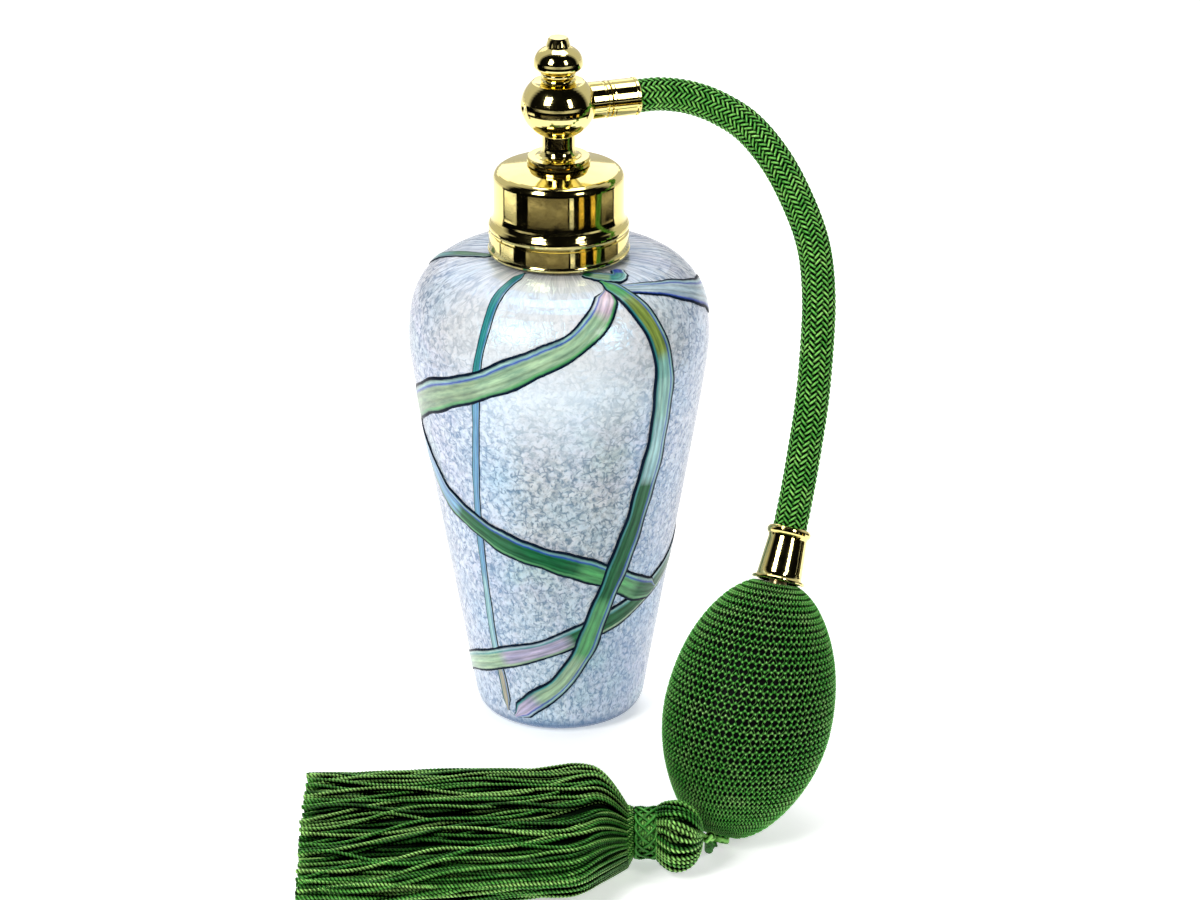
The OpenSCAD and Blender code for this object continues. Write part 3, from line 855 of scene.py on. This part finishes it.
def make_net_tie(yarn):
    """The net's drawstring, wound over the folds of the gathered tip. Sizes are in millimetres."""
    winding_r = 1.75
    winding_top = -57.45
    winding_rise = 0.75
    t = np.linspace(0, 1, 90)
    angle = TURN * 2.6 * t
    winding = on_turned(winding_r, angle, winding_top - winding_rise * t) * MM
    tie = Strands()
    outward = turned_in_bulb(on_turned(1, angle, 0 * t))
    tie.add(on_bulb(winding), outward, twisted(winding, 0.5 * MM, 2 * MM))

    folds = 9
    fold_r = 1.3
    fold_low = -58.4
    share = np.linspace(0, 1, 14)
    section = oval(len(share), 6, 0.4 * MM, 0.5 * MM)
    for a in around(folds):
        turn = np.full_like(share, a)
        fold = on_turned(fold_r + 0.5 * share, turn, fold_low + 1.6 * share) * MM
        tie.add(on_bulb(fold), turned_in_bulb(on_turned(1, turn, 0 * turn)), section)
    piece = tie.piece("net_drawstring", yarn)
    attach(piece, "bulb")
    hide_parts("net_tie")


# ---- Tassel ----

LINK_ROUTE = [(33, -78.2, 1.5), (32.9, -80.4, 1.8), (32.8, -82.6, 3.6), (32.8, -84.3, 6.2)]
KNOT = np.array((32.6, -85.9, 7.6)) * MM
HEAD = np.array((25.6, -87.2, 8.5)) * MM
HEAD_R = 8.1 * MM
HEAD_LONG = 6.2 * MM
BINDING = np.array((16.3, -85, 8.2)) * MM
BINDING_L = 5.7 * MM
BINDING_R = 5.9 * MM
SKIRT_L = 71.5 * MM


def make_link(yarn):
    """The cord between the bulb's tip and the tassel."""
    in_tie = (34.3, -77.1, 1.6)
    line = smooth_path(np.array([in_tie] + LINK_ROUTE) * MM, 16)
    cord = Strands()
    section = twisted(line, 1.0 * MM, 3.2 * MM, 3, 0.28, 10)
    # The cord's underside keeps most of its painted light, so it gets little painted shade
    cord.add(line, carried(line, (0, 0, 1)), section, bare=0.8)
    piece = cord.piece("tassel_cord", yarn)
    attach(piece, "link")
    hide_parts("tassel_link")


def make_knot(yarn):
    """An overhand knot where the cord enters the tassel's head."""
    t = around(80)
    loop = np.stack([np.sin(t) + 2 * np.sin(2 * t), np.cos(t) - 2 * np.cos(2 * t), -np.sin(3 * t)], axis=1)
    line = KNOT + loop * 0.4 * MM
    knot = Strands()
    knot.add(line, unit(line - KNOT), twisted(line, 0.62 * MM, 2.5 * MM, 3, 0.25, 8), closed=True)
    piece = knot.piece("tassel_overhand", yarn)
    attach(piece, "tassel")
    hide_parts("tassel_knot")


def pull_to_neck(swell):
    """How far the head's outline at each angle has moved over to the binding's axis."""
    return np.clip((math.radians(-10) - swell) / math.radians(37), 0, 1)[:, None]


def make_head(yarn, painted_shade_material):
    """Twisted cords laid lengthwise over a round head, in two layers."""
    cords = 30
    cord_r = 0.62 * MM
    cord_lay = 2 * MM
    swell = np.linspace(math.radians(-47), math.radians(82), 60)
    shrink = np.clip(1.12 * np.cos(swell) + 0.1, 0.4, 1)
    axis = HEAD + (BINDING - HEAD) * [0, 1, 1] * pull_to_neck(swell)
    strands = Strands()
    for layer, inset in ((0, 0.75 * MM), (1, 1.7 * MM)):
        for i in range(cords):
            phase = TURN * (i + 0.5 * layer) / cords + 0.06 * math.sin(2.4 * i)
            angle = phase + (0.22 - 0.3 * layer) * np.sin(swell) + 0.05 * np.sin(3 * swell + i)
            out = spokes(angle)
            line = axis + (HEAD_R - inset) * np.cos(swell)[:, None] * out
            line[:, 0] = HEAD[0] + (HEAD_LONG - 0.4 * MM) * np.sin(swell)
            section = twisted(line, cord_r, cord_lay, 2, 0.36, 8, shrink)
            normal = out * np.cos(swell)[:, None] + np.outer(np.sin(swell), [1, 0, 0])
            # Painted shade in the grooves between plies, and the inner layer painted darker as shade
            ply = 0.4 + 0.75 * lobes(line, cord_lay, 2, 8)
            strands.add(line, normal, section, lit=1 - 0.2 * layer, relief=ply)
    cover = strands.piece("tassel_head_cords", yarn)

    swell = np.linspace(math.radians(-48), math.radians(88), 24)
    axis = HEAD + (BINDING - HEAD) * pull_to_neck(swell)
    x = HEAD[0] + (HEAD_LONG - 1.2 * MM) * np.sin(swell)
    rings = turned_round_x(x, axis[:, 1], axis[:, 2], (HEAD_R - 1.9 * MM) * np.cos(swell))
    # The core is painted near-black green, as the shade inside the head
    core = mesh_piece("tassel_head_core", *loft(rings), painted_shade_material)
    for piece in (cover, core):
        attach(piece, "tassel")
    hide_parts("tassel_head")


def make_binding(yarn, painted_shade_material):
    """A woven band round the neck of the tassel, over plain windings."""
    middle = BINDING + np.array((BINDING_L / 2, 0, 0))
    lay = 1.5 * MM
    band = Strands()

    leads = 5
    bights = 14
    t = leads * around(700)
    beat = bights / leads * t
    radius = BINDING_R - 0.62 * MM + 0.22 * MM * np.sin(2 * beat)
    line = middle + radius[:, None] * spokes(t)
    line[:, 0] += (BINDING_L / 2 - 0.55 * MM) * np.cos(beat)
    band.add(line, spokes(t), twisted(line, 0.44 * MM, lay, 2, 0.3, 8), closed=True)

    turns = 7
    share = np.linspace(0, 1, 420)
    t = TURN * turns * share
    line = middle + (BINDING_R - 1.35 * MM) * spokes(t)
    line[:, 0] += (BINDING_L - 1.1 * MM) * (share - 0.5)
    band.add(line, spokes(t), twisted(line, 0.45 * MM, lay, 2, 0.3, 6))
    cover = band.piece("tassel_band", yarn)

    x = middle[0] + np.linspace(-0.5, 0.5, 6) * BINDING_L
    rings = turned_round_x(x, middle[1], middle[2], BINDING_R - 1.6 * MM)
    # The core is painted near-black green, as the shade under the band
    core = mesh_piece("tassel_band_core", *loft(rings), painted_shade_material)
    for piece in (cover, core):
        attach(piece, "tassel")
    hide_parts("tassel_binding")


SILK_LAY = 1.7 * MM
SILK_R = 0.6 * MM


def skirt_section(t):
    """The skirt at share t of its length: its place along X, its middle and its half sizes.

    It leaves the binding round, opens wide over the first fifth and then lies flat.
    """
    opened = np.sin(math.pi / 2 * np.minimum(1, 5 * t))
    raised = np.sin(math.pi / 2 * np.minimum(1, 8 * t))
    moved = np.sin(math.pi / 2 * np.minimum(1, 3 * t))
    wide = 11.6 + 38.4 * opened + 8 * t
    tall = 11.6 + 9.4 * raised - 5 * t
    y = -84.6 - 4 * moved
    z = np.maximum(tall / 2 + 0.4, 8.2 * (1 - 6 * t))
    return BINDING[0] - SKIRT_L * t, y * MM, z * MM, wide / 2 * MM, tall / 2 * MM


def skirt_line(t, angle, inset):
    """A line over the skirt, inset from its surface, with outward normals."""
    x, y, z, half_w, half_h = skirt_section(t)
    c, s = np.cos(angle), np.sin(angle)
    line = np.stack([x, y + (half_w - inset) * c, z + (half_h - inset) * s], axis=1)
    normal = unit(np.stack([0 * t, c / half_w, s / half_h], axis=1))
    return line, normal


def skirt_cords(cords, inset, wander, spacing, lit):
    """One layer of loose cords. inset and spacing, the length of a ring, are in millimetres."""
    strands = Strands()
    count = int(SKIRT_L / MM / spacing)
    for i in range(cords):
        end = 1 - 0.012 * chance.random()
        t = np.linspace(0, 1, count) ** 1.25 * end
        phase = TURN * (i + chance.uniform(-0.3, 0.3)) / cords
        beat_a, beat_b = chance.uniform(0.5, 1.1), chance.uniform(1.3, 2.4)
        start_a, start_b = chance.uniform(0, TURN, 2)
        loose = np.minimum(1, 4 * t)
        swing = 0.10 * np.sin(TURN * beat_a * t + start_a) + 0.045 * np.sin(TURN * beat_b * t + start_b)
        angle = phase + loose * swing * wander
        depth = inset + loose * 0.55 * (1 + np.sin(TURN * beat_b * t + start_a))
        line, normal = skirt_line(t, angle, depth * MM)
        shrink = 0.72 + 0.28 * np.minimum(1, 7 * t)
        section = twisted(line, SILK_R, SILK_LAY, 2, 0.36, 6, shrink)
        # Painted shade in the grooves between plies; towards the cut end the underside keeps more painted
        # light, and lit paints deeper layers darker as shade
        ply = 0.4 + 0.75 * lobes(line, SILK_LAY)
        cut_end = np.clip((t - 0.92) / 0.06, 0, 0.95)
        strands.add(line, normal, section, lit=lit, relief=ply, bare=cut_end)
    return strands


def skirt_filling():
    """Short cords that fill the skirt's open end, in rows across its inner outline."""
    strands = Strands()
    x, y, z, half_w, half_h = skirt_section(np.array([0.9, 1.0]))
    start = np.array((x[0], y[0], z[0]))
    end = np.array((x[1], y[1], z[1]))
    pitch = 1.25 * MM
    inset = 3.7 * MM
    wide = half_w[1] - inset
    tall = half_h[1] - inset
    for row, up in enumerate(np.arange(-tall, tall, pitch)):
        reach = wide * math.sqrt(max(0, 1 - (up / tall) ** 2))
        for across in np.arange(-reach + 0.5 * pitch * (row % 2), reach, pitch):
            shift = chance.uniform(-0.5, 0.5, 2) * MM
            stop = 1 - 0.12 * chance.random()
            share = np.linspace(0, stop, 18)[:, None]
            line = start + (end - start) * share + (0, across + shift[0], up + shift[1])
            normal = np.tile((0.0, 0.0, 1.0), (len(line), 1))
            section = twisted(line, SILK_R, SILK_LAY, 2, 0.36, 6)
            # Towards the cut end the underside keeps more painted light; lit paints these cords a little
            # darker as shade
            cut_end = np.clip((share - 0.5) / 0.4, 0, 0.85)
            strands.add(line, normal, section, lit=0.95, bare=cut_end)
    return strands


def make_skirt(yarn, painted_shade_material):
    """Loose twisted cords in three layers over a middle painted dark as the shade inside the skirt."""
    # Each layer: name, cords, inset, wander, spacing and lit, the painted light, lower for deeper layers
    # as shade
    layers = (
        ("tassel_cords_outer", 62, 0.6, 1.4, 0.24, 1.0),
        ("tassel_cords_middle", 64, 1.7, 0.9, 0.27, 0.95),
        ("tassel_cords_inner", 58, 2.9, 0.4, 0.4, 0.9),
    )
    pieces = [skirt_cords(*layer).piece(name, yarn) for name, *layer in layers]
    pieces.append(skirt_filling().piece("tassel_cords_end", yarn))

    t = np.linspace(0, 0.94, 60) ** 1.2
    rings = np.zeros((len(t), 72, 3))
    for k, angle in enumerate(around(72)):
        ripple = 4.1 + 0.4 * math.sin(9 * angle) + 0.2 * math.sin(23 * angle)
        rings[:, -k], _ = skirt_line(t, np.full_like(t, angle), ripple * MM)
    pieces.append(mesh_piece("tassel_middle", *loft(rings), painted_shade_material))
    for piece in pieces:
        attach(piece, "tassel")
    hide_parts("tassel_skirt")


# ---- Glass trails ----

INK = (0.004, 0.012, 0.03)
BLUE = (0.03, 0.08, 0.5)
TEAL = (0.03, 0.3, 0.3)
CYAN = (0.4, 0.72, 0.74)
DEEP = (0.012, 0.15, 0.05)
GREEN = (0.08, 0.42, 0.12)
PALE = (0.42, 0.62, 0.36)
GREY = (0.3, 0.44, 0.24)
LILAC = (0.56, 0.46, 0.66)
PINK = (0.85, 0.6, 0.7)
TAN = (0.5, 0.42, 0.28)
AZURE = (0.14, 0.4, 0.66)
OLIVE = (0.26, 0.34, 0.06)
MIST = (0.52, 0.64, 0.72)
SEA = (0.3, 0.62, 0.52)

# A route's points are degrees round the bottle and millimetres up its side from the foot. Where
# trails cross, the one with the higher level_up lies on top. Widths are in millimetres, colours
# are those of the middle along the trail, and edges are the lines along its two sides.
TRAILS = [
    dict(
        name="trail_thin",
        level_up=0,
        route=[
            (-120, 127), (-121, 117), (-120, 108), (-122, 98), (-124, 85), (-128, 68), (-130, 55),
            (-131, 40), (-131, 26), (-128, 15), (-127, 8),
        ],
        widths=(2.4, 2.2, 2, 1.9, 1.9, 2.2),
        colours=(TEAL, TEAL, AZURE, AZURE, CYAN, TAN),
        edges=(BLUE, TEAL),
    ),
    dict(
        name="trail_band",
        level_up=1,
        route=[
            (-292, 27), (-270, 38), (-243, 52), (-215, 66), (-190, 74), (-163, 83), (-142, 89),
            (-122, 94), (-99, 101), (-85, 105), (-74, 110), (-68, 114), (-62, 119),
        ],
        widths=(3, 5, 6.4, 7.2, 7.6, 7.8, 7.6, 7, 6.2, 5.2),
        colours=(DEEP, TEAL, GREEN, TEAL, GREY, GREY, GREY, PALE, PALE, PINK),
        edges=(BLUE, GREEN),
    ),
    dict(
        name="trail_right",
        level_up=3,
        route=[
            (-62, 122), (-57, 117), (-52, 110), (-47, 100), (-46, 88), (-47, 76), (-50, 67),
            (-54, 57), (-61, 46), (-67, 38), (-72, 31), (-77, 25), (-90, 17), (-106, 12),
            (-121, 7),
        ],
        widths=(4, 5.2, 5.7, 5.8, 5.8, 5.6, 5.2, 5, 5.2),
        colours=(GREEN, OLIVE, SEA, CYAN, DEEP, DEEP, GREEN, PALE, LILAC),
        edges=(BLUE, TEAL),
    ),
    dict(
        name="trail_middle",
        level_up=2,
        route=[
            (-205, 82), (-180, 74), (-162, 68), (-150, 62), (-133, 58), (-115, 54), (-95, 51),
            (-77, 48), (-60, 44), (-45, 40), (-30, 38),
        ],
        widths=(4, 4.6, 5.4, 6, 6.2, 6),
        colours=(CYAN, CYAN, AZURE, DEEP, DEEP, GREEN, DEEP),
        edges=(BLUE, GREEN),
    ),
    dict(
        name="trail_low",
        level_up=1,
        route=[
            (-190, 12), (-160, 17), (-140, 20), (-122, 23), (-96, 27), (-76, 31), (-58, 34),
            (-38, 38), (-18, 42), (5, 47), (30, 54), (60, 61), (95, 69), (130, 77), (158, 83),
        ],
        widths=(4.6, 5.2, 5.5, 5.4, 5.2, 4.6, 4, 4, 4.4, 4.8, 4.2),
        colours=(LILAC, PALE, LILAC, DEEP, DEEP, LILAC, TEAL, GREEN, DEEP, CYAN, CYAN),
        edges=(TEAL, PALE),
    ),
    dict(
        name="trail_shoulder",
        level_up=1,
        route=[
            (-62, 120), (-54, 118), (-42, 116), (-28, 113), (-10, 108), (15, 102), (45, 97),
            (80, 92), (120, 90),
        ],
        widths=(2.8, 5, 8, 9.8, 9.8, 8, 5.6, 4),
        colours=(MIST, MIST, MIST, MIST, TEAL, GREEN, PALE),
        edges=(BLUE, BLUE),
    ),
    dict(
        name="trail_left",
        level_up=1,
        route=[
            (188, 127), (178, 121), (165, 113), (150, 106), (132, 99), (112, 91), (95, 83),
        ],
        widths=(2.4, 3, 3.6, 4, 4),
        colours=(DEEP, TEAL, CYAN, GREEN),
        edges=(INK, DEEP),
    ),
    dict(
        name="trail_knot",
        level_up=2,
        route=[
            (-68, 127), (-58, 124), (-48, 122), (-40, 125),
        ],
        widths=(3.2, 4.6, 4.2, 2.8),
        colours=(DEEP, PALE, TEAL, BLUE),
        edges=(BLUE, CYAN),
    ),
]


def glass_meridian():
    """Radius and height of the bottle's outside, from its foot to its neck ring."""
    heel = bezier((14, 0), (17.3, 0), (18.8, 1.6), (19.4, 4.6), 20)
    wall = bezier((19.4, 4.6), (23.5, 29.6), (33.8, 83.3), (33.8, 90.5), 60)
    shoulder = bezier((33.8, 90.5), (33.8, 99.8), (33, 110.3), (14, 110.3), 60)
    return np.vstack([heel, wall[1:], shoulder[1:]]) * MM


def blended(stops, t):
    """Values spread evenly along 0 to 1, read at t."""
    table = np.array(stops, float).reshape(len(stops), -1)
    at = np.linspace(0, 1, len(stops))
    return np.stack([np.interp(t, at, table[:, k]) for k in range(table.shape[1])], axis=1)


def banded(stops, t):
    """Like blended, but each value holds and then changes quickly to the next."""
    place = t * (len(stops) - 1)
    whole = np.floor(place)
    sharp = whole + np.clip(6 * (place - whole) - 2.5, 0, 1)
    return blended(stops, sharp / (len(stops) - 1))


def laid_on_glass(outline, spots, height):
    """Moves points that are near the bottle on to its glass, and then out by height."""
    fine = np.linspace(0, measured(outline)[-1], 900)
    glass = at_lengths(outline, outline, fine)
    leaning = unit(at_lengths(outline, facings(outline), fine))
    flat_r = np.linalg.norm(spots[..., :2], axis=-1)
    gap = (flat_r[..., None] - glass[:, 0]) ** 2 + (spots[..., 2:] - glass[:, 1]) ** 2
    nearest = gap.argmin(axis=-1)
    meridian = glass[nearest] + leaning[nearest] * height[:, None]
    compass = spots[..., :2] / flat_r[..., None]
    return np.concatenate([compass * meridian[..., :1], meridian[..., 1:]], axis=-1)


def trail_layers(middle, edges):
    """Colours across a trail: dark outline, a pale line painted as a highlight, edge, streaked middle,
    edge, outline.
    """
    first, last = np.array(edges[0]), np.array(edges[1])
    # bright is the painted highlight along one side of the trail
    bright = middle * 0.4 + 0.6 * np.array(CYAN)
    dark = np.array(INK)
    layers = [dark, dark, bright, first, middle, 0.7 * middle, middle, 1.2 * middle, middle]
    layers += [0.6 * middle, middle, 0.8 * middle, last, dark, dark]
    underside = [dark, dark, dark]
    paint = np.ones((len(middle), len(layers + underside), 4))
    for k, layer in enumerate(layers + underside):
        paint[:, k, :3] = layer
    return paint


def make_trail(name, level_up, route, widths, colours, edges, material):
    """A low ribbon of coloured glass melted on to the bottle, darker at its edges."""
    outline = glass_meridian()
    path = smooth_path(route, 14)
    angle = np.radians(path[:, 0])
    up = path[:, 1] * MM
    radius, level = at_lengths(outline, outline, up).T
    lean, rise = unit(at_lengths(outline, facings(outline), up)).T
    line = on_turned(radius, angle, level)
    length = measured(line)
    t = length / length[-1]

    ends = np.clip(np.minimum(t, 1 - t) * 40, 0.25, 1)[:, None]
    wobble = 1 + 0.06 * np.sin(37 * t[:, None] + len(name)) + 0.04 * np.sin(83 * t[:, None])
    half = blended(widths, t) * MM / 2 * wobble * ends
    across = np.linspace(-1, 1, 15)
    side = unit(np.cross(directions(line), on_turned(lean, angle, rise)))
    spots = line[:, None] + side[:, None] * (half * across)[..., None]
    lift = (0.08 + 0.09 * level_up + 0.08 * np.sqrt(1 - across**2)) * MM
    sunk = np.full(len(across), -0.5 * MM)
    top = laid_on_glass(outline, spots, lift)
    under = laid_on_glass(outline, spots, sunk)[:, [-1, 7, 0]]
    rings = np.concatenate([top, under], axis=1)
    piece = mesh_piece(name, *loft(rings), material)

    paint = trail_layers(banded(colours, t), edges)
    store = piece.data.attributes.new("layers", "FLOAT_COLOR", "POINT")
    store.data.foreach_set("color", paint.ravel())
    ribbon = np.zeros((*rings.shape[:2], 3))
    ribbon[..., 0] = np.concatenate([across, [1, 0, -1]]) * 3.5
    ribbon[..., 1] = (length / MM * 0.16)[:, None]
    ribbon[..., 2] = len(name)
    store = piece.data.attributes.new("ribbon", "FLOAT_VECTOR", "POINT")
    store.data.foreach_set("vector", ribbon.ravel())
    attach(piece, "bottle")


# ---- The whole ----


def dress_frame(materials):
    """Gives each node that stays in view the finish of its slot."""
    for subpart in frame["record"]["subparts"]:
        slot = subpart["material_slot"]
        node = frame["nodes"][subpart["node"]]
        node.data.materials.clear()
        node.data.materials.append(materials[slot])


make_camera()
braid_yarn = yarn_material("braid_yarn", **GREENS)
net_yarn = yarn_material("net_yarn", **LIT_NET_GREENS)
silk_yarn = yarn_material("silk_cord", **GREENS)
black_rubber = soft_material(
    "black_rubber", (0.003, 0.004, 0.003), (0.001, 0.002, 0.001), roughness=0.5, gloss=0.05
)
# Near-black green for the cores, painted as the shade between the strands
painted_shade_green = soft_material(
    "painted_shade_yarn", (0.003, 0.02, 0.003), (0.001, 0.008, 0.001), roughness=0.9, grain=4, gloss=0.1
)
make_hose(braid_yarn, painted_shade_green)

finishes = {
    "opal_glass": glass_material(),
    "gilt": gilt_material(),
    "plain_brass": turned_material("turned_brass", (0.8, 0.62, 0.34), (0.6, 0.44, 0.22), 0.28),
    "steel": turned_material("ground_steel", (0.62, 0.63, 0.65), (0.45, 0.46, 0.48), 0.2),
    "seal": soft_material("seal_rubber", (0.05, 0.05, 0.05), (0.03, 0.03, 0.03), 0.7),
    "liner": soft_material("liner_plastic", (0.66, 0.6, 0.5), (0.58, 0.52, 0.42), 0.5),
    "siphon": soft_material("siphon_plastic", (0.85, 0.86, 0.85), (0.78, 0.8, 0.78), 0.25),
    "braid": braid_yarn,
    "net": net_yarn,
    "silk": silk_yarn,
    "bulb_rubber": black_rubber,
}
dress_frame(finishes)
make_studio()
make_bulb(net_yarn, black_rubber)
make_net_tie(braid_yarn)
make_link(silk_yarn)
make_knot(silk_yarn)
make_head(silk_yarn, painted_shade_green)
make_binding(silk_yarn, painted_shade_green)
make_skirt(silk_yarn, painted_shade_green)
trail_glass = trail_material()
for trail in TRAILS:
    make_trail(**trail, material=trail_glass)
